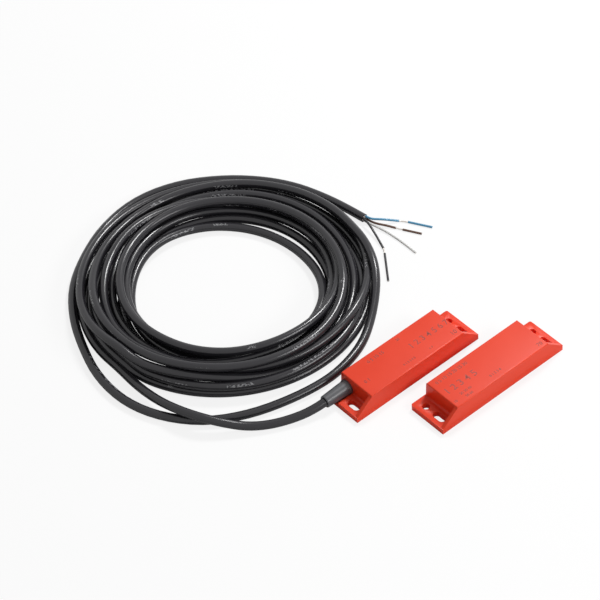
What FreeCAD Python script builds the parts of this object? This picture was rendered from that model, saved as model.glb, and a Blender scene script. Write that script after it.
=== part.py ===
import FreeCAD, Part
import math
import os

# Coded magnetic switch: a cabled sensor housing, its loose magnet, and the coiled cable.
# Sizes are millimetres, +Z is up, and the origin is the middle of the sensor's mounting face.

os.makedirs("parts", exist_ok=True)
doc = FreeCAD.newDocument("coded_switch")
sheet = doc.addObject("Spreadsheet::Sheet", "Sizes")
SIZES = {
    # The two housings share one outer form.
    "housing_length": 88,
    "housing_width": 25,
    "housing_height": 13,
    "flange_length": 10.7,
    "flange_height": 3.6,
    "cheek_thickness": 2,
    "top_inset_far": 0.8,
    "edge_round": 0.7,
    "corner_round": 1.2,
    "foot_round": 1.5,
    "wall_thickness": 1.6,
    "hole_from_end": 5,
    "hole_radius": 2.15,
    "slot_length": 8.3,
    "hole_from_edge": 6.6,
    "slot_from_edge": 16.8,
    # Where the magnet lies in the photograph.
    "magnet_x": 27.16,
    "magnet_y": -37.22,
    "coding_magnet_side": 9,
    "coding_magnet_height": 4,
    "coding_magnet_step": 18,
    "coding_magnet_base": 4.5,
    # The cable's way out of the sensor.
    "boot_from_edge": 5.5,
    "boot_z": 5.3,
    "boot_root_radius": 4.5,
    "boot_tip_radius": 3.5,
    "boot_length": 16.4,
    "boot_rim": 1.8,
    "boot_play": 0.15,
    "cable_radius": 2.5,
    "crimp_radius": 3,
    "crimp_length": 3,
    "jacket_inside": 5.8,
    # The coil that the cable lies in, and the ring of space its turns fill.
    "coil_x": -34,
    "coil_y": 105.5,
    "coil_outer_radius": 83.7,
    "coil_inner_radius": 49.8,
    "coil_height": 19.8,
    "coil_round": 5.5,
    "core_radius": 0.65,
    "strand_radius": 0.38,
    # The board and the parts on it.
    "board_side_gap": 3.5,
    "board_thickness": 1,
    "board_from_left": 14.7,
    "board_from_right": 2.7,
    "board_base": 3,
    "reed_glass_radius": 1.1,
    "reed_glass_length": 14,
    "reed_bore_radius": 0.75,
    "reed_bore_length": 9,
    "reed_lift": 2.4,
    "reed_spread": 5.6,
    "reed_stagger": 1,
    "reed_from_board_end": 12,
    "lead_radius": 0.25,
    "lead_overhang": 2,
    "blade_width": 0.9,
    "blade_thickness": 0.2,
    "blade_gap": 0.15,
    "blade_lap": 1,
    "resistor_radius": 1.1,
    "resistor_length": 5,
    "pad_radius": 1,
    "pad_height": 0.7,
    "pad_pitch": 2.8,
    "pad_rise": 0.4,
    "pad_inset": 2.5,
    "resistor_inset": 6.3,
}
for row, (alias, value) in enumerate(SIZES.items(), 1):
    sheet.set("A%d" % row, alias)
    sheet.set("B%d" % row, str(value))
    sheet.setAlias("B%d" % row, alias)
doc.recompute()


def read(alias):
    return float(sheet.get(alias))


def boot_y():
    return read("housing_width") / 2 - read("boot_from_edge")


def jacket_end():
    """Where the cable's jacket stops inside the sensor's end wall."""
    return read("flange_length") - read("housing_length") / 2 + read("jacket_inside")


def make(kind, name, place=("0", "0", "0"), turn=None, **sizes):
    """A Part object whose sizes and place are expressions; a bare word in them is a sheet name."""
    obj = doc.addObject("Part::" + kind, name)
    if turn:
        obj.Placement = FreeCAD.Placement(FreeCAD.Vector(), FreeCAD.Rotation(*turn))
    for prop, expr in sizes.items():
        obj.setExpression(prop, expand(expr))
    for axis, expr in zip("xyz", place):
        obj.setExpression("Placement.Base." + axis, expand(expr))
    return obj


def expand(expr):
    """Put the sheet's name before every size that an expression uses."""
    out = word = ""
    for char in expr + " ":
        if char.isalpha() or char == "_":
            word += char
            continue
        out += ("Sizes." + word if word else "") + char
        word = ""
    return out.strip()


ALONG_X = (FreeCAD.Vector(0, 1, 0), 90)
ALONG_Y = (FreeCAD.Vector(1, 0, 0), -90)
WEDGE_UP = (FreeCAD.Vector(1, 0, 0), 90)


def fuse(name, shapes):
    obj = doc.addObject("Part::MultiFuse", name)
    obj.Shapes = shapes
    return obj


def cut(name, base, tool):
    obj = doc.addObject("Part::Cut", name)
    obj.Base, obj.Tool = base, tool
    return obj


def cut_each(name, base, tools):
    """Cut the tools away one after another, for pieces that touch along a shared face."""
    for i, tool in enumerate(tools):
        base = cut("%s_%d" % (name, i), base, tool)
    return base


def fillet(name, base, radius, wanted):
    """Round the base's edges that the test picks out."""
    doc.recompute()
    obj = doc.addObject("Part::Fillet", name)
    obj.Base = base
    obj.Edges = [(i + 1, radius, radius) for i, e in enumerate(base.Shape.Edges) if wanted(e)]
    return obj


def node(obj, label):
    obj.Label = label
    return obj


def upright(edge):
    box = edge.BoundBox
    return box.ZLength > 1 and box.XLength < 0.01


def housing_block(name, mx, my):
    """The body block with its leaning side walls, both flanges, the cheeks and the foot rounds."""
    half_body = "(housing_length/2-flange_length)"
    block = make("Wedge", name + "_block", (mx, my, "0"), WEDGE_UP,
                 Xmin="-" + half_body, Xmax=half_body, X2min="-" + half_body, X2max=half_body,
                 Ymin="0", Ymax="housing_height", Zmin="-housing_width/2", Zmax="housing_width/2",
                 Z2min="-housing_width/2+top_inset_far", Z2max="housing_width/2")
    height = read("housing_height")
    block = fillet(name + "_round", block, read("edge_round"),
                   lambda e: e.BoundBox.ZMin > height - 0.01)
    flange = make("Box", name + "_flange",
                  (mx + "-housing_length/2", my + "-housing_width/2", "0"),
                  Length="housing_length", Width="housing_width", Height="flange_height")
    far = read("housing_width") / 2 + (read("magnet_y") if name == "magnet" else 0)
    flange = fillet(name + "_corners", flange, read("corner_round"),
                    lambda e: upright(e) and e.BoundBox.YMin > far - 0.01)
    pieces = [block, flange]
    for side in (-1, 1):
        outer = "%s%+d*(housing_length/2)" % (mx, side)
        foot = "%s%+d*%s" % (mx, side, half_body)
        low = foot if side > 0 else outer
        steep = "0" if side > 0 else "flange_length"
        pieces.append(make("Wedge", "%s_cheek_%d" % (name, side + 1),
                           (low, my + "-housing_width/2+cheek_thickness", "flange_height-0.3"),
                           WEDGE_UP, Xmin="0", Xmax="flange_length", X2min=steep, X2max=steep,
                           Ymin="0", Ymax="housing_height-edge_round-flange_height+0.3",
                           Zmin="0", Zmax="cheek_thickness", Z2min="0", Z2max="cheek_thickness"))
        inner = foot if side > 0 else foot + "-foot_round"
        bead = make("Box", "%s_bead_%d" % (name, side + 1),
                    (inner, my + "-housing_width/2+cheek_thickness/2", "flange_height"),
                    Length="foot_round", Height="foot_round",
                    Width="housing_width-cheek_thickness/2-corner_round")
        scoop = make("Cylinder", "%s_scoop_%d" % (name, side + 1),
                     ("%s%+d*foot_round" % (foot, side), my + "-housing_width/2",
                      "flange_height+foot_round"),
                     ALONG_Y, Radius="foot_round", Height="housing_width")
        pieces.append(cut("%s_foot_%d" % (name, side + 1), bead, scoop))
    return fuse(name + "_form", pieces)


def hole_tools(name, mx, my, round_sides):
    """Round holes and slots through the flanges, as one cutting shape."""
    tools = []
    for side in (-1, 1):
        x = "%s%+d*(housing_length/2-hole_from_end)" % (mx, side)
        if side in round_sides:
            tools.append(make("Cylinder", "%s_hole_%d" % (name, side + 1),
                              (x, my + "+housing_width/2-hole_from_edge", "-1"),
                              Radius="hole_radius", Height="flange_height+2"))
        middle = my + "+housing_width/2-slot_from_edge"
        reach = "(slot_length/2-hole_radius)"
        for end in (-1, 1):
            tools.append(make("Cylinder", "%s_slot_%d_%d" % (name, side + 1, end + 1),
                              (x, "%s%+d*%s" % (middle, end, reach), "-1"),
                              Radius="hole_radius", Height="flange_height+2"))
        tools.append(make("Box", "%s_slot_%d" % (name, side + 1),
                          (x + "-hole_radius", middle + "-" + reach, "-1"),
                          Length="hole_radius*2", Width="slot_length-hole_radius*2",
                          Height="flange_height+2"))
    return tools


def cavity(name, mx, my):
    """The space under the housing's shell; the same box is the resin that fills it."""
    return make("Box", name, (mx + "-housing_length/2+flange_length+wall_thickness",
                              my + "-housing_width/2+wall_thickness", "0"),
                Length="housing_length-flange_length*2-wall_thickness*2",
                Width="housing_width-wall_thickness*2-top_inset_far",
                Height="housing_height-wall_thickness")


def rod(name, x, y, z, radius, height, turn=ALONG_X):
    return make("Cylinder", name, (x, y, z), turn, Radius=radius, Height=height)


WALL = "(-housing_length/2+flange_length)"
BOOT_Y = "(housing_width/2-boot_from_edge)"
BOARD_LEFT = "(-housing_length/2+flange_length+wall_thickness+board_from_left)"
BOARD_RIGHT = "(housing_length/2-flange_length-wall_thickness-board_from_right)"
BOARD_TOP = "(board_base+board_thickness)"
REED_Z = "(board_base+board_thickness+reed_lift)"


def strain_relief():
    """A tapered sleeve with a rounded rim at the wall and a plug through it, bored for the cable."""
    y, z = BOOT_Y, "boot_z"
    back = (FreeCAD.Vector(0, 1, 0), -90)
    taper = make("Cone", "boot_taper", (WALL, y, z), back, Radius1="boot_root_radius-0.25",
                 Radius2="boot_tip_radius", Height="boot_length")
    tip = read("flange_length") - read("housing_length") / 2 - read("boot_length")
    sleeve = fillet("boot_sleeve", taper, 0.5, lambda e: e.BoundBox.XMax < tip + 0.01)
    rim = rod("boot_rim_ring", WALL + "-boot_rim", y, z, "boot_root_radius", "boot_rim")
    front = tip + read("boot_length") - read("boot_rim")
    rim = fillet("boot_rim_round", rim, 0.8, lambda e: e.BoundBox.XMax < front + 0.01)
    plug = rod("boot_plug", WALL, y, z, "boot_tip_radius-0.3", "wall_thickness")
    bore = rod("boot_bore", WALL + "-boot_length-1", y, z, "cable_radius", "boot_length+5")
    return cut("boot", fuse("boot_solid", [sleeve, rim, plug]), bore)


def rounded_path(points):
    """A wire of straight runs joined by tangent arcs, with each arc's radius."""
    corners, radii = [], []
    pts = [FreeCAD.Vector(*p) for p in points]
    for a, b, c in zip(pts, pts[1:], pts[2:]):
        before, after = (b - a), (c - b)
        turn = before.getAngle(after)
        reach = 0.45 * min(before.Length, after.Length)
        radius = reach / math.tan(turn / 2)
        start = b - before.normalize() * reach
        stop = b + after.normalize() * reach
        inward = (start + stop) * 0.5 - b
        depth = radius / math.cos(turn / 2) - radius
        corners.append((start, b + inward.normalize() * depth, stop))
        radii.append(radius)
    edges, here = [], pts[0]
    for start, middle, stop in corners:
        edges.append(Part.makeLine(here, start))
        edges.append(Part.Arc(start, middle, stop).toShape())
        here = stop
    edges.append(Part.makeLine(here, pts[-1]))
    return Part.Wire(edges), radii


def cord(label, points, radius, bore=0.0):
    """A round cord swept along its path, hollow if it has a bore."""
    wire, radii = rounded_path(points)
    start = wire.Edges[0]
    ahead = start.tangentAt(start.FirstParameter)

    def sweep(r):
        ring = Part.Wire(Part.makeCircle(r, FreeCAD.Vector(*points[0]), ahead))
        return wire.makePipeShell([ring], True, False)

    shape = sweep(radius)
    expected = math.pi * radius ** 2 * wire.Length
    if radii:
        print(label, "bend radii", [round(r, 1) for r in radii],
              "volume ratio", round(shape.Volume / expected, 3))
    if bore:
        shape = shape.cut(sweep(bore))
    obj = doc.addObject("Part::Feature", label)
    obj.Shape = shape
    return node(obj, label)


def around(angle, beyond, z):
    """A point beside the coil: its angle about the middle and how far it lies past the outer turn."""
    r = read("coil_outer_radius") + beyond
    turn = math.radians(angle)
    return (read("coil_x") + r * math.cos(turn), read("coil_y") + r * math.sin(turn), z)


def cable():
    """The lead from the boot, the loose outer turn, the coil's ring and the free tail."""
    r = read("cable_radius")
    y, z = boot_y(), read("boot_z")
    over = 3 * r + 0.7
    tip = read("flange_length") - read("housing_length") / 2 - read("boot_length")
    lead = cord("cable_lead", [(jacket_end(), y, z), (tip - 11.3, y, z),
                               (tip - 29.3, y + 10, r + 1), (tip - 48.3, y + 20, over),
                               (tip - 57.8, y + 39, over),
                               around(-155, 4.5, r + 3), around(-171, 0.2, r + 0.5),
                               around(-187, -5.2, r + 0.3)], r)
    swing, rest = loose_turn(r)
    meeting = [(a + b) / 2 for a, b in zip(swing[-1], rest[0])]
    loop = cord("cable_loop", swing + [meeting], r)
    tail = cord("cable_tail", [meeting] + rest, r)
    outer = rod("coil_outside", "coil_x", "coil_y", "0", "coil_outer_radius", "coil_height", None)
    inner = rod("coil_inside", "coil_x", "coil_y", "-1", "coil_inner_radius", "coil_height+2", None)
    top = read("coil_height") - 0.01
    ring = cut("coil_ring", outer, inner)
    coil = fillet("coil", ring, read("coil_round"),
                  lambda e: e.BoundBox.ZMin > top and e.BoundBox.XLength > 1)
    return [lead, loop, node(coil, "cable_coil"), tail]


def loose_turn(r):
    """The turn outside the bundle: its swing past the sensor, then the rest round to the free end."""
    swing = [around(-25, -6, r), around(-42, -3.5, r), around(-58, -0.8, r), around(-74, 0.6, r),
             around(-91, 2.1, r), around(-107, 3, r), around(-123, 6.1, r),
             around(-138, 10.2, r), around(-153, 11.2, r), around(-167, 10, r),
             around(-182, 7.1, r), around(-197, 4.1, r), around(-212, 2.6, r)]
    rest = [around(-228, 2.6, r), around(-244, 4.2, r), around(-260, 7.4, r),
            around(-276, 10.2, r), around(-292, 10.6, r), around(-308, 9.1, r),
            around(-322, 8.4, r), around(-334, 8.3, r), around(-345, 7.9, r),
            around(-356, 8.9, r), free_end(r)]
    return swing, rest


def free_end(r):
    """Where the jacket ends and the four cores come out."""
    return around(-364.6, 10.8, r)


def free_cores():
    """Each core past the jacket: its strands for the whole length, its colour and the cut-off slug."""
    x, y, z = free_end(read("cable_radius"))
    r, strand = read("core_radius"), read("strand_radius")
    near, far, low, high = -0.85, 0.85, z - 0.85, z + 0.85
    floor = r + 0.02
    routes = {
        "blue": (far, high, [(1.9, -3.9), (6.5, -8.2, 3), (13.8, -13.8)], (3.1, -4.3), (10, -16.8)),
        "brown": (far, low, [(1.9, -6), (6.2, -12.6, 1.2), (8.7, -16.8)], (1.9, -3.6), (7.3, -13.5)),
        "white": (near, low, [(0.3, -6.2), (2.7, -14.5, 0.9), (3.7, -26)], None, (3.4, -39)),
        "black": (near, high, [(-1.8, -6.2), (-4, -14.6, 1.6), (-7.1, -23.7)], (-2.3, -3.7),
                  (-15.1, -20.7)),
    }
    made = []
    for colour, (side, level, mids, gap, end) in routes.items():
        points = [(x + side, y + 0.6 * (side > 0), level)]
        for mid in mids:
            height = mid[2] if len(mid) > 2 else (level if mid is mids[0] else floor)
            points.append((x + mid[0], y + mid[1], height))
        tip = points[-1]
        if gap is None:
            points.append((x + end[0], y + end[1], floor))
            made.append(cord("core_" + colour, points, r, strand))
            made.append(cord("strands_" + colour, points, strand))
            continue
        slug_start = (tip[0] + gap[0], tip[1] + gap[1], floor)
        slug_end = (tip[0] + end[0], tip[1] + end[1], floor)
        made.append(cord("core_" + colour, points, r, strand))
        made.append(cord("slug_" + colour, [slug_start, slug_end], r, strand))
        made.append(cord("strands_" + colour, points + [slug_start, slug_end], strand))
    return made


def inner_cores():
    """The four cores from the jacket's end inside the housing down to their solder pads."""
    x, y, z = jacket_end(), boot_y(), read("boot_z")
    top = read("board_base") + read("board_thickness") + read("pad_height")
    r = read("core_radius")
    made = []
    for i, colour in enumerate(("blue", "brown", "white", "black")):
        side, level = (0.9 if i < 2 else -0.9), (0.9 if i % 2 else -0.9)
        pad_y = y + read("pad_rise") - i * read("pad_pitch")
        far_x = x - read("jacket_inside") + read("wall_thickness") + read("board_from_left")
        far_x += read("pad_inset")
        made.append(cord("inner_core_" + colour,
                         [(x, y + side, z + level), (x + 4.5, y + side, z + level + 0.1),
                          (far_x - 3.5, pad_y, top + r - 0.1), (far_x, pad_y, top + r)], r))
    return made


def reed(i):
    """One sealed contact: its glass, the leads with the fixed blade, and the blade that bends."""
    x = "(%s-reed_from_board_end%+d*reed_stagger)" % (BOARD_RIGHT, i - 2)
    y = "(%d*reed_spread)" % (i - 2)
    half, bore = "reed_glass_length/2", "reed_bore_length/2"
    outer = rod("glass_solid_%d" % i, x + "-" + half, y, REED_Z, "reed_glass_radius",
                "reed_glass_length")
    hollow = rod("glass_bore_%d" % i, x + "-" + bore, y, REED_Z, "reed_bore_radius",
                 "reed_bore_length")
    left_wire = rod("lead_left_%d" % i, x + "-" + half + "-lead_overhang", y, REED_Z, "lead_radius",
                    "lead_overhang+(reed_glass_length-reed_bore_length)/2")
    right_wire = rod("lead_right_%d" % i, x + "+" + bore, y, REED_Z, "lead_radius",
                     "lead_overhang+(reed_glass_length-reed_bore_length)/2")
    legs = [make("Cylinder", "lead_leg_%d_%d" % (i, side + 1),
                 ("%s%+d*(%s+lead_overhang)" % (x, side, half), y, "board_base"),
                 Radius="lead_radius", Height="board_thickness+reed_lift+lead_radius")
            for side in (-1, 1)]
    fixed = make("Box", "blade_fixed_%d" % i,
                 (x + "-blade_lap", y + "-blade_width/2", REED_Z + "-blade_gap/2-blade_thickness"),
                 Length="blade_lap+reed_bore_length/2", Width="blade_width",
                 Height="blade_thickness")
    root = make("Box", "blade_root_%d" % i,
                (x + "+" + bore + "-0.4", y + "-lead_radius", REED_Z + "-lead_radius"),
                Length="0.4", Width="lead_radius*2", Height="lead_radius*2")
    moving = make("Box", "blade_moving_%d" % i,
                  (x + "-" + bore + "+0.05", y + "-blade_width/2", REED_Z + "+blade_gap/2"),
                  Length="blade_lap+reed_bore_length/2-0.05", Width="blade_width",
                  Height="blade_thickness")
    leads = fuse("leads_%d" % i, [left_wire, right_wire, fixed, root] + legs)
    glass = cut("glass_%d" % i, outer, fuse("glass_tools_%d" % i, [hollow, left_wire, right_wire]))
    return (node(glass, "reed_glass_%d" % i), node(leads, "reed_leads_%d" % i),
            node(moving, "reed_blade_%d" % i), outer)


def board_parts():
    """The board with its lead holes, the resistor on it and the four solder pads."""
    board = make("Box", "board", (BOARD_LEFT, "-housing_width/2+board_side_gap", "board_base"),
                 Length=BOARD_RIGHT + "-" + BOARD_LEFT,
                 Width="housing_width-board_side_gap*2", Height="board_thickness")
    across = (FreeCAD.Vector(1, 0, 0), 90)
    x, z = BOARD_LEFT + "+resistor_inset", BOARD_TOP + "+resistor_radius+0.15"
    body = rod("resistor_body", x, "-0.4", z, "resistor_radius", "resistor_length-0.8", across)
    caps = [rod("resistor_cap_%d" % k, x, at, z, "resistor_radius+0.15", "1", across)
            for k, at in enumerate(("0", "-resistor_length+1"))]
    pads = []
    for i in range(4):
        pads.append(make("Cone", "pad_%d" % i,
                         (BOARD_LEFT + "+pad_inset", "%s+pad_rise-%d*pad_pitch" % (BOOT_Y, i),
                          BOARD_TOP),
                         Radius1="pad_radius", Radius2="pad_radius/2", Height="pad_height"))
    resistor = fuse("resistor", [body] + caps)
    return board, node(resistor, "series_resistor"), node(fuse("pads", pads), "solder_pads")


def sensor():
    form = housing_block("sensor", "0", "0")
    boot = strain_relief()
    groove = rod("boot_groove", "-housing_length/2-1", BOOT_Y, "boot_z",
                 "boot_root_radius+boot_play", "flange_length+1")
    plug_hole = rod("plug_hole", WALL + "-1", BOOT_Y, "boot_z", "boot_tip_radius-0.3",
                    "wall_thickness+2")
    inside = cavity("sensor_cavity", "0", "0")
    tools = hole_tools("sensor", "0", "0", (1,)) + [groove, plug_hole, inside]
    housing = node(cut("sensor_shell", form, fuse("sensor_tools", tools)), "switch_housing")
    board, resistor, pads = board_parts()
    reeds = [reed(i) for i in (1, 2, 3)]
    holes = fuse("board_holes", [leads for _, leads, _, _ in reeds])
    drilled = node(cut("drilled_board", board, holes), "circuit_board")
    ring = rod("crimp_solid", WALL + "+jacket_inside-crimp_length-0.5", BOOT_Y, "boot_z",
               "crimp_radius", "crimp_length")
    ring_bore = rod("crimp_bore", WALL + "+jacket_inside-crimp_length-1.5", BOOT_Y, "boot_z",
                    "cable_radius", "crimp_length+2")
    crimp = node(cut("crimp", ring, ring_bore), "cable_crimp")
    lines = cable()
    cores = inner_cores()
    filled = [board, resistor, pads, ring, lines[0]] + cores
    for _, leads, _, glass in reeds:
        filled += [leads, glass]
    block = cavity("resin_block", "0", "0")
    resin = node(cut_each("resin", block, filled), "switch_resin_fill")
    made = [housing, resin, drilled, resistor, pads, crimp, node(boot, "strain_relief_boot")]
    for glass, leads, blade, _ in reeds:
        made += [glass, leads, blade]
    return made + lines + cores


def magnet():
    form = housing_block("magnet", "magnet_x", "magnet_y")
    inside = cavity("magnet_cavity", "magnet_x", "magnet_y")
    tools = hole_tools("magnet", "magnet_x", "magnet_y", (-1, 1)) + [inside]
    housing = node(cut("magnet_shell", form, fuse("magnet_tools", tools)), "magnet_housing")
    made = [housing]
    for i in (1, 2, 3):
        made.append(node(make("Box", "bar_%d" % i,
                              ("magnet_x%+d*coding_magnet_step-coding_magnet_side/2" % (i - 2),
                               "magnet_y-coding_magnet_side/2", "coding_magnet_base"),
                              Length="coding_magnet_side", Width="coding_magnet_side",
                              Height="coding_magnet_height"), "coding_magnet_%d" % i))
    block = cavity("magnet_block", "magnet_x", "magnet_y")
    resin = cut_each("magnet_resin", block, made[1:])
    return made + [node(resin, "magnet_resin_fill")]


parts = sensor() + magnet() + free_cores()
doc.recompute()
for obj in doc.Objects:
    if "Invalid" in obj.State or "Error" in obj.State:
        raise RuntimeError("%s did not compute" % obj.Name)
    shape = getattr(obj, "Shape", None)
    if shape is not None and (shape.isNull() or not shape.isValid()):
        raise RuntimeError("%s has no valid shape" % obj.Name)
for part in parts:
    part.Shape.exportStep("parts/%s.step" % part.Label)
print(len(parts), "parts exported")
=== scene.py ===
import math

import bmesh
import bpy
from mathutils import Matrix, Vector


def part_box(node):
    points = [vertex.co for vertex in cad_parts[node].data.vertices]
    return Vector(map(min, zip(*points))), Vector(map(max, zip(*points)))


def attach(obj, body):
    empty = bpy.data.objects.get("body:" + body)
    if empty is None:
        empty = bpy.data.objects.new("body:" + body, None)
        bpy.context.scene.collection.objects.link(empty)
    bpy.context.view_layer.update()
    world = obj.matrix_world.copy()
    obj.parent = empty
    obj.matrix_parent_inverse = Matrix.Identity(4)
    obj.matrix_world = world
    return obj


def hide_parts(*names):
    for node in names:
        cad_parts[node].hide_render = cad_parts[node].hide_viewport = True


# A coded magnetic switch on a pale floor: the cabled sensor, its loose magnet and the coiled cable.
# Lengths are metres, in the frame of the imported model, unless a name or comment says mm.

MM = 0.001
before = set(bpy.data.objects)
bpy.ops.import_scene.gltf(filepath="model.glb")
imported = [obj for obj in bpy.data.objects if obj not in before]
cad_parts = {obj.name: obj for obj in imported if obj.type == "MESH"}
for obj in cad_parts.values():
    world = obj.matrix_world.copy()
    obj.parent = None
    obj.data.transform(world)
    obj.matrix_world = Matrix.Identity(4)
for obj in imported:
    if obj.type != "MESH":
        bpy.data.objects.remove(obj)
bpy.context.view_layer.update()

CABLE_RADIUS = 2.5 * MM
CABLE_LENGTH = 5.0
COIL_CENTRE = Vector((-34, 105.5, 0)) * MM
# The circle about the coil's centre from which beside_coil() counts.
COIL_OUTER = 83.7 * MM
BOOT_TIP = Vector((-49.7, 7, 5.3)) * MM
# The bundle on each side of the coil: the side's angle, then the reach in mm of its innermost and
# its outermost strand.
SIDES = ((-128, 55, 74.5), (142, 53, 79), (52, 58, 80), (-38, 54, 77.5))
# Half turn by half turn, in the order of laying: the strand's rank, with 0 innermost and 1 outermost,
# and how many mm it leans towards the lean side, which is an angle about the coil.
HALF_TURNS = ((1.07, 2.5), (1.04, 2), (0.93, 0), (0.88, -0.5), (0.83, -2), (0.59, -1), (0.22, 1.5),
              (0.12, -1), (0.03, 0.5), (0.02, 2), (0.06, 4), (0.18, 4), (0.35, 3), (0.66, 4.5),
              (1.04, 5.5), (1.13, 5), (0.58, 5), (0.34, 1.5), (0.17, 4.5), (0.36, -1.5),
              (0.76, 2.5), (1.08, 2), (1.2, 0))
LEAN_SIDE = 64
# One turn sags off the bundle into the open middle: its number, the angle at which it sags, and mm.
SAGGING_TURN, SAG_SIDE, SAG = 4, 28.5, 8.2
# Each turn strays a little from its lay, in mm, and the next turn strays at another phase.
WOBBLE, WOBBLE_SHIFT = 0.5, 4.08
# Strands lie this many mm apart, and a strand's heights are eased this many times.
STRAND_GAP, EASINGS = 0.1, 4
TURN_STEPS = 36
COIL_START, COIL_SWEEP = -180, 3805

# The line of dashes on the jacket, in turns round it: its middle, how far it swings to each side, the
# square of half its width, and how fast it swings along the cable's mm.
PRINT_MIDDLE, PRINT_SWING, PRINT_BAND, PRINT_PACE = 0.25, 0.3, 0.0022, 0.011
# Two noises break the line up: the scale per mm of each, and the level over which the line shows.
DASH_SCALE, DASH_LEVEL = 0.9, 0.52
WEAR_SCALE, WEAR_LEVEL = 0.03, 0.53
MM_AROUND = 16

GRAIN_DEPTH = 0.1 * MM
EDGE_ROUND = 0.6 * MM
LAMP_AIM = Vector((0, 0.05, 0))
# The floor is part glow and part lit surface to the camera, and lit surface alone to the object.
FLOOR_GLOW, GLOW_SHARE = 1.03, 0.80
# The world's strength as light on the object, and as the camera, gloss and glass see it.
WORLD_LIGHT, WORLD_SEEN = 0.22, 1.0


def make_camera():
    """The photograph's camera: a long lens, rolled a little, that looks down at the coil."""
    azimuth, elevation, roll = math.radians(-37.91), math.radians(46.03), math.radians(-4.4)
    target, distance = Vector((-6.5, 76.85, 0)) * MM, 1.6528
    back = Vector((math.sin(azimuth) * math.cos(elevation),
                   -math.cos(azimuth) * math.cos(elevation), math.sin(elevation)))
    level = Vector((math.cos(azimuth), math.sin(azimuth), 0))
    upward = back.cross(level)
    right = level * math.cos(roll) + upward * math.sin(roll)
    up = upward * math.cos(roll) - level * math.sin(roll)
    camera = bpy.data.objects.new("camera", bpy.data.cameras.new("camera"))
    camera.data.lens, camera.data.sensor_width = 180, 36
    camera.data.clip_start, camera.data.clip_end = 0.1, 10
    place = Matrix((right, up, back)).transposed().to_4x4()
    place.translation = target + back * distance
    camera.matrix_world = place
    bpy.context.collection.objects.link(camera)
    bpy.context.scene.camera = camera


def beside_coil(angle, beyond, height):
    """A point about the coil: its angle, how many mm past the outer turn it lies, its height in mm."""
    turn, reach = math.radians(angle), COIL_OUTER / MM + beyond
    return COIL_CENTRE + Vector((reach * math.cos(turn), reach * math.sin(turn), height)) * MM


def lead_points():
    """From the boot, over the loose outer turn, to the bundle's left side."""
    steps = [(0, 0, 0), (-8, 0.8, -1.2), (-20, 5.2, -2.6), (-31, 10.6, -2.8), (-40.5, 17.4, -2),
             (-48.6, 25.2, 0.7), (-55.9, 34.4, 3.1), (-60.6, 45.2, 3.2), (-63.3, 58, 1.4)]
    return ([BOOT_TIP + Vector(step) * MM for step in steps]
            + [beside_coil(-160.6, 1, 5.2), beside_coil(-169, -3, 3.2)])


def loose_turn_points():
    """The outer turn that swings out beside the sensor, then runs round the back to the free end."""
    low = CABLE_RADIUS / MM
    bends = [(-21, -2.7, 13.4), (-32, -1.9, 13.1), (-41, -1.6, 10.4), (-50, -1.8, 7.2),
             (-60, -1.3, 4), (-70, 0.2, low), (-81, 1.2, low), (-92, 2.1, low),
             (-107, 2.8, low), (-123, 6.3, low), (-138, 10.1, low), (-153, 11.2, low),
             (-167, 10.2, low), (-182, 6.6, low), (-197, 2.8, low), (-212, 2.6, low),
             (-228, 4, low), (-244, 4.6, low), (-260, 8.0, low), (-276, 11.2, low),
             (-292, 11, low), (-308, 9.1, low), (-322, 8.4, low), (-334, 8.3, low),
             (-345, 7.9, low), (-356, 8.9, low), (-364.6, 10.8, low)]
    return [beside_coil(*bend) for bend in bends]


def facing(angle, side):
    """1 where the angle is the side's own, down to 0 from a right angle on."""
    return max(0, math.cos(math.radians(angle - side)))


def turn_reach(along):
    """A strand's distance from the coil's centre in mm, where along counts turns from the start."""
    turn, half = int(along), int(2 * along)
    part = 2 * along - half
    eased = part * part * (3 - 2 * part)
    rank, lean = (here + (following - here) * eased
                  for here, following in zip(HALF_TURNS[half], HALF_TURNS[half + 1]))
    angle = COIL_START - 360 * along
    stray = math.sin(4 * math.pi * along + WOBBLE_SHIFT * turn) * math.sin(math.pi * (along - turn))
    reach = WOBBLE * stray
    reach += lean * math.cos(math.radians(angle - LEAN_SIDE))
    for side, inner, outer in SIDES:
        reach += facing(angle, side) ** 2 * (inner + (outer - inner) * rank)
    if turn == SAGGING_TURN:
        reach -= SAG * facing(angle, SAG_SIDE) ** 2
    return reach


def rest_height(reach, below):
    """The height in mm at which a strand rests on the floor or on the strands laid before it."""
    width = 2 * CABLE_RADIUS / MM + STRAND_GAP
    height = CABLE_RADIUS / MM
    for other_reach, other_height in below:
        offset = abs(reach - other_reach)
        if offset < width:
            height = max(height, other_height + math.sqrt(width * width - offset * offset))
    return height


def coil_points():
    """Turn after turn, clockwise from above, each laid on those before it and eased over crossings."""
    laid = [[] for step in range(TURN_STEPS)]
    points, last = [], CABLE_RADIUS / MM
    total = COIL_SWEEP * TURN_STEPS // 360
    for first in range(0, total, TURN_STEPS):
        count = min(TURN_STEPS, total - first)
        reaches = [turn_reach((first + step) / TURN_STEPS) for step in range(count)]
        heights = [rest_height(reaches[step], laid[step]) for step in range(count)]
        for _ in range(EASINGS):
            before, after = [last] + heights[:-1], heights[1:] + heights[-1:]
            heights = [max(h, (a + b) / 2) for h, a, b in zip(heights, before, after)]
        last = heights[-1]
        for step in range(count):
            laid[step].append((reaches[step], heights[step]))
            angle = COIL_START - 360 * (first + step) / TURN_STEPS
            points.append(beside_coil(angle, reaches[step] - COIL_OUTER / MM, heights[step]))
    return points


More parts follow.
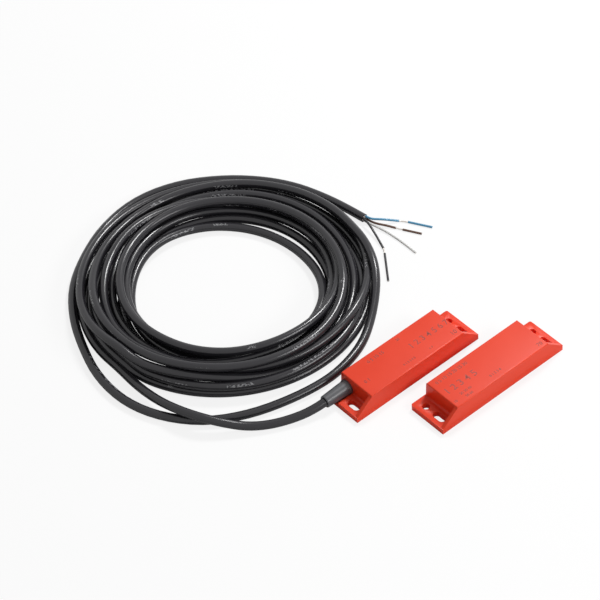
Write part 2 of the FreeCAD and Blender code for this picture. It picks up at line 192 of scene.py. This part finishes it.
def make_cable(points):
    """One round cord through all the points."""
    curve = bpy.data.curves.new("cable", "CURVE")
    curve.dimensions = "3D"
    curve.bevel_depth, curve.bevel_resolution = CABLE_RADIUS, 5
    curve.resolution_u = 4
    curve.use_fill_caps = True
    spline = curve.splines.new("NURBS")
    spline.points.add(len(points) - 1)
    for knot, point in zip(spline.points, points):
        knot.co = (*point, 1)
    spline.order_u = 3
    spline.use_endpoint_u = True
    cable = bpy.data.objects.new("cable", curve)
    bpy.context.collection.objects.link(cable)
    return cable


class Value:
    """A shader value. Arithmetic on it adds Math nodes to its finish."""

    def __init__(self, finish, socket):
        self.finish, self.socket = finish, socket

    def worked(self, operation, first, second):
        return self.finish.add("ShaderNodeMath", {"operation": operation}, {0: first, 1: second})

    def __add__(self, other):
        return self.worked("ADD", self, other)

    __radd__ = __add__

    def __sub__(self, other):
        return self.worked("SUBTRACT", self, other)

    def __rsub__(self, other):
        return self.worked("SUBTRACT", other, self)

    def __mul__(self, other):
        return self.worked("MULTIPLY", self, other)

    __rmul__ = __mul__

    def __gt__(self, other):
        return self.worked("GREATER_THAN", self, other)

    def __lt__(self, other):
        return self.worked("LESS_THAN", self, other)


class Finish:
    """A material: constants sit on its shader's own sockets, and values that vary are linked."""

    def __init__(self, name, colour, roughness, **constants):
        self.material = bpy.data.materials.new(name)
        self.material.use_nodes = True
        self.tree = self.material.node_tree
        self.shader = self.tree.nodes["Principled BSDF"]
        self.put("Base Color", (*colour, 1))
        self.put("Roughness", roughness)
        for socket, value in constants.items():
            self.put(socket.replace("_", " "), value)

    def put(self, socket, value):
        self.connect(self.shader.inputs[socket], value)

    def connect(self, socket, value):
        if isinstance(value, Value):
            self.tree.links.new(value.socket, socket)
        else:
            socket.default_value = value

    def add(self, kind, settings, inputs, output=0):
        node = self.tree.nodes.new(kind)
        for name, value in settings.items():
            setattr(node, name, value)
        for name, value in inputs.items():
            self.connect(node.inputs[name], value)
        return Value(self, node.outputs[output])

    def pattern(self, place, scale, detail):
        return self.add("ShaderNodeTexNoise", {}, {"Vector": place, "Scale": scale,
                                                   "Detail": detail})

    def noise(self, scale, detail=2.0):
        place = self.add("ShaderNodeTexCoord", {}, {}, "Object")
        return self.pattern(place, scale, detail)

    def bump(self, height, strength):
        self.put("Normal", self.add("ShaderNodeBump", {}, {"Height": height,
                                                           "Strength": strength,
                                                           "Distance": GRAIN_DEPTH}))

    def mixed(self, factor, first, second):
        return self.add("ShaderNodeMix", {"data_type": "RGBA"},
                        {"Factor": factor, "A": (*first, 1), "B": (*second, 1)}, "Result")


def red_plastic():
    """Moulded thermoplastic: a fine grain, and a gloss that varies a little over the surface."""
    finish = Finish("red_plastic", (0.84, 0.05, 0.014), 0.44, Specular_IOR_Level=0.30)
    cloud, grain = finish.noise(60), finish.noise(2600, 3)
    finish.put("Base Color", finish.mixed(cloud, (0.80, 0.045, 0.011), (0.87, 0.056, 0.016)))
    finish.put("Roughness", cloud * 0.12 + 0.30)
    finish.bump(grain, 0.25)
    return finish.material


def cable_jacket():
    """Black jacket with a satin skin, and a line of worn pale dashes that wanders round it."""
    finish = Finish("cable_jacket", (0.022, 0.021, 0.025), 0.26, Specular_IOR_Level=0.44)
    surface = finish.add("ShaderNodeUVMap", {}, {})
    around = finish.add("ShaderNodeSeparateXYZ", {}, {"Vector": surface}, "Y")
    along = finish.add("ShaderNodeSeparateXYZ", {}, {"Vector": surface}, "X") * (CABLE_LENGTH / MM)
    swing = finish.add("ShaderNodeMath", {"operation": "SINE"}, {0: along * PRINT_PACE})
    beside = around - PRINT_MIDDLE - swing * PRINT_SWING
    spot = finish.add("ShaderNodeCombineXYZ", {}, {"X": along, "Y": around * MM_AROUND})
    dashes = finish.pattern(spot, DASH_SCALE, 1) > DASH_LEVEL
    stretch = finish.add("ShaderNodeCombineXYZ", {}, {"X": along})
    worn = finish.pattern(stretch, WEAR_SCALE, 1) > WEAR_LEVEL
    print_line = (beside * beside < PRINT_BAND) * dashes * worn
    finish.put("Base Color", finish.mixed(print_line, (0.022, 0.021, 0.025), (0.25, 0.25, 0.26)))
    cloud, grain = finish.noise(90), finish.noise(1800)
    finish.put("Roughness", cloud * 0.10 + 0.17)
    finish.bump(grain, 0.1)
    return finish.material


def grained(name, colour, roughness, **constants):
    """One colour that clouds a little, with a fine grain."""
    finish = Finish(name, colour, roughness, **constants)
    cloud, grain = finish.noise(120), finish.noise(1500)
    finish.put("Base Color", finish.mixed(cloud, [part * 0.9 for part in colour],
                                          [part * 1.1 for part in colour]))
    finish.put("Roughness", cloud * 0.12 + roughness - 0.06)
    finish.bump(grain, 0.2)
    return finish.material


# Finishes of the CAD nodes, by how their names start: material, colour, roughness, and 1 for a metal.
FINISHES = {
    "strain_relief_boot": ("boot_rubber", (0.085, 0.087, 0.094), 0.34),
    "switch_resin_fill": ("potting_resin", (0.018, 0.018, 0.020), 0.30),
    "magnet_resin_fill": ("potting_resin", (0.018, 0.018, 0.020), 0.30),
    "circuit_board": ("board", (0.08, 0.22, 0.10), 0.45),
    "series_resistor": ("resistor_body", (0.62, 0.50, 0.33), 0.40),
    "solder_pads": ("solder", (0.66, 0.66, 0.66), 0.40, 1),
    "cable_crimp": ("crimp_metal", (0.60, 0.60, 0.62), 0.36, 1),
    "reed_glass": ("reed_glass", (0.75, 0.88, 0.80), 0.10),
    "reed_leads": ("reed_metal", (0.72, 0.68, 0.60), 0.32, 1),
    "reed_blade": ("reed_metal", (0.72, 0.68, 0.60), 0.32, 1),
    "coding_magnet": ("magnet_metal", (0.36, 0.36, 0.38), 0.42, 1),
    "strands": ("tinned_strands", (0.62, 0.58, 0.54), 0.36, 1),
}
CORE_COLOURS = {"blue": (0.09, 0.31, 0.50), "brown": (0.11, 0.055, 0.035),
                "white": (0.72, 0.72, 0.70), "black": (0.02, 0.02, 0.022)}


def paint_nodes():
    """Give the CAD nodes that are shown as they are their finishes."""
    made = {}
    for node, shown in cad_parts.items():
        first = [start for start in FINISHES if node.startswith(start)]
        colour = node.split("_")[-1]
        if first:
            name, shade, roughness, *metal = FINISHES[first[0]]
        elif colour in CORE_COLOURS:
            name, shade, roughness, metal = "core_skin_" + colour, CORE_COLOURS[colour], 0.36, []
        else:
            continue
        if name not in made:
            made[name] = grained(name, shade, roughness, Metallic=float(bool(metal)))
        shown.data.materials.clear()
        shown.data.materials.append(made[name])


def rounded_copy(node, body, material):
    """The node's own solid with its sharp edges rounded a little, as a moulding has them."""
    shape = bmesh.new()
    shape.from_mesh(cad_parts[node].data)
    bmesh.ops.remove_doubles(shape, verts=shape.verts, dist=1e-6)
    bmesh.ops.dissolve_limit(shape, angle_limit=math.radians(1), verts=shape.verts,
                             edges=shape.edges)
    mesh = bpy.data.meshes.new(node + "_moulded")
    shape.to_mesh(mesh)
    shape.free()
    mesh.shade_smooth()
    piece = bpy.data.objects.new(node + "_moulded", mesh)
    bpy.context.collection.objects.link(piece)
    bevel = piece.modifiers.new("edge_rounds", "BEVEL")
    bevel.width, bevel.segments, bevel.limit_method = EDGE_ROUND, 3, "ANGLE"
    bevel.angle_limit, bevel.harden_normals = math.radians(35), True
    piece.data.materials.append(material)
    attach(piece, body)
    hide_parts(node)


def number_rows(name, body, node, rows, ink):
    """Rows of plain numbers on a housing, where the real one has its print.

    A row is its numbers, their size, and its place from the middle of the top, all in mm."""
    low, high = (Vector(corner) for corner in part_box(node))
    middle = Vector(((low.x + high.x) / 2, (low.y + high.y) / 2, high.z))
    shape = bmesh.new()
    for numbers, size, x, y in rows:
        letters = bpy.data.curves.new("row", "FONT")
        letters.body, letters.size, letters.extrude = numbers, size * MM, 0.02 * MM
        letters.offset = 0.05 * MM
        letters.resolution_u = 3
        writer = bpy.data.objects.new("row", letters)
        bpy.context.collection.objects.link(writer)
        drawn = bpy.data.meshes.new_from_object(
            writer.evaluated_get(bpy.context.evaluated_depsgraph_get()))
        drawn.transform(Matrix.Translation(middle + Vector((x, y, 0)) * MM))
        shape.from_mesh(drawn)
        bpy.data.objects.remove(writer)
        bpy.data.meshes.remove(drawn)
    mesh = bpy.data.meshes.new(name)
    shape.to_mesh(mesh)
    shape.free()
    mesh.materials.append(ink)
    piece = bpy.data.objects.new(name, mesh)
    bpy.context.collection.objects.link(piece)
    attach(piece, body)


def jacket_filler(points):
    """The pale filler that shows round the cores where the jacket is cut."""
    end, before = points[-1], points[-2]
    turned = (end - before).to_track_quat("Z", "Y").to_matrix().to_4x4()
    shape = bmesh.new()
    bmesh.ops.create_cone(shape, segments=32, cap_ends=True, radius1=1.9 * MM, radius2=1.6 * MM,
                          depth=0.5 * MM, matrix=Matrix.Translation(end) @ turned)
    mesh = bpy.data.meshes.new("jacket_filler")
    shape.to_mesh(mesh)
    shape.free()
    mesh.materials.append(grained("filler_paper", (0.42, 0.37, 0.33), 0.7))
    piece = bpy.data.objects.new("jacket_filler", mesh)
    bpy.context.collection.objects.link(piece)
    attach(piece, "sensor")
    return piece


def area_light(name, power, size, place):
    """A rectangle of light that faces the set, its power in watts."""
    light = bpy.data.objects.new(name, bpy.data.lights.new(name, "AREA"))
    light.data.energy, light.data.shape = power, "RECTANGLE"
    light.data.size, light.data.size_y = size
    light.location = place
    light.rotation_euler = (LAMP_AIM - Vector(place)).to_track_quat("-Z", "Y").to_euler()
    bpy.context.collection.objects.link(light)


def make_world():
    """White to the camera, in gloss and through glass, and a softer pale light on the object."""
    world = bpy.data.worlds.new("studio")
    bpy.context.scene.world = world
    world.use_nodes = True
    tree = world.node_tree
    background = tree.nodes["Background"]
    background.inputs["Color"].default_value = (1, 1, 1, 1)
    rays = tree.nodes.new("ShaderNodeLightPath")
    seen = rays.outputs["Is Camera Ray"]
    for ray in ("Is Glossy Ray", "Is Transmission Ray"):
        either = tree.nodes.new("ShaderNodeMath")
        either.operation = "MAXIMUM"
        tree.links.new(seen, either.inputs[0])
        tree.links.new(rays.outputs[ray], either.inputs[1])
        seen = either.outputs[0]
    strength = tree.nodes.new("ShaderNodeMapRange")
    strength.inputs["To Min"].default_value = WORLD_LIGHT
    strength.inputs["To Max"].default_value = WORLD_SEEN
    tree.links.new(seen, strength.inputs["Value"])
    tree.links.new(strength.outputs[0], background.inputs["Strength"])


def make_floor():
    """A pale floor that keeps the object's shadow."""
    shape = bmesh.new()
    bmesh.ops.create_grid(shape, x_segments=1, y_segments=1, size=4)
    mesh = bpy.data.meshes.new("floor")
    shape.to_mesh(mesh)
    shape.free()
    floor = bpy.data.objects.new("floor", mesh)
    bpy.context.collection.objects.link(floor)
    finish = Finish("pale_floor", (0.90, 0.90, 0.90), 0.8)
    tree = finish.tree
    lit = tree.nodes.new("ShaderNodeEmission")
    lit.inputs["Strength"].default_value = FLOOR_GLOW
    rays = tree.nodes.new("ShaderNodeLightPath")
    seen = Value(finish, rays.outputs["Is Camera Ray"]) * GLOW_SHARE
    both = finish.add("ShaderNodeMixShader", {}, {0: seen})
    tree.links.new(finish.shader.outputs[0], both.socket.node.inputs[1])
    tree.links.new(lit.outputs[0], both.socket.node.inputs[2])
    tree.links.new(both.socket, tree.nodes["Material Output"].inputs["Surface"])
    mesh.materials.append(finish.material)


make_camera()
cable_points = lead_points() + coil_points() + loose_turn_points()
cable = make_cable(cable_points)
cable.data.materials.append(cable_jacket())
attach(cable, "sensor")
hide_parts("cable_lead", "cable_loop", "cable_coil", "cable_tail")
core_nodes = [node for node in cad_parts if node.split("_")[0] in ("core", "strands", "slug")]
[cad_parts[n] for n in core_nodes] + [jacket_filler(cable_points)]
paint_nodes()
red = red_plastic()
rounded_copy("switch_housing", "sensor", red)
rounded_copy("magnet_housing", "magnet", red)
ink = grained("print_ink", (0.36, 0.035, 0.02), 0.5)
number_rows("switch_numbers", "sensor", "switch_housing",
            [("1 2 3 4 5 6 7", 5.4, 5, -1.9), ("0 5 10 15", 3.0, -18.7, 6.0), ("20", 2.4, 3, 7.6),
             ("0 1 2 3 4 5", 1.9, -6, -8.4), ("6 7", 1.9, 12, -9.2), ("10", 4.0, 27.5, -10),
             ("0 1", 3.0, -29.4, -3.6)], ink)
number_rows("magnet_numbers", "magnet", "magnet_housing",
            [("1 2 3 4 5", 6.2, -30.9, -2.4), ("0 5 10 15 20 25 30", 2.9, -29.9, 6.8),
             ("0 1 2 3 4", 2.2, -5.7, -8.8), ("10", 2.2, -32, -9.4), ("20 30 40", 2.2, -25.7, -7.2),
             ("50 60", 2.2, -24.5, -10.4), ("70", 3.4, 27.8, -10.6)], ink)
make_floor()
make_world()
area_light("right_key", 9.5, (0.24, 0.24), (0.73, 0.24, 1.0))
area_light("front_fill", 6, (0.7, 0.3), (0.38, -0.9, 0.66))
bpy.context.scene.view_settings.view_transform = "Standard"
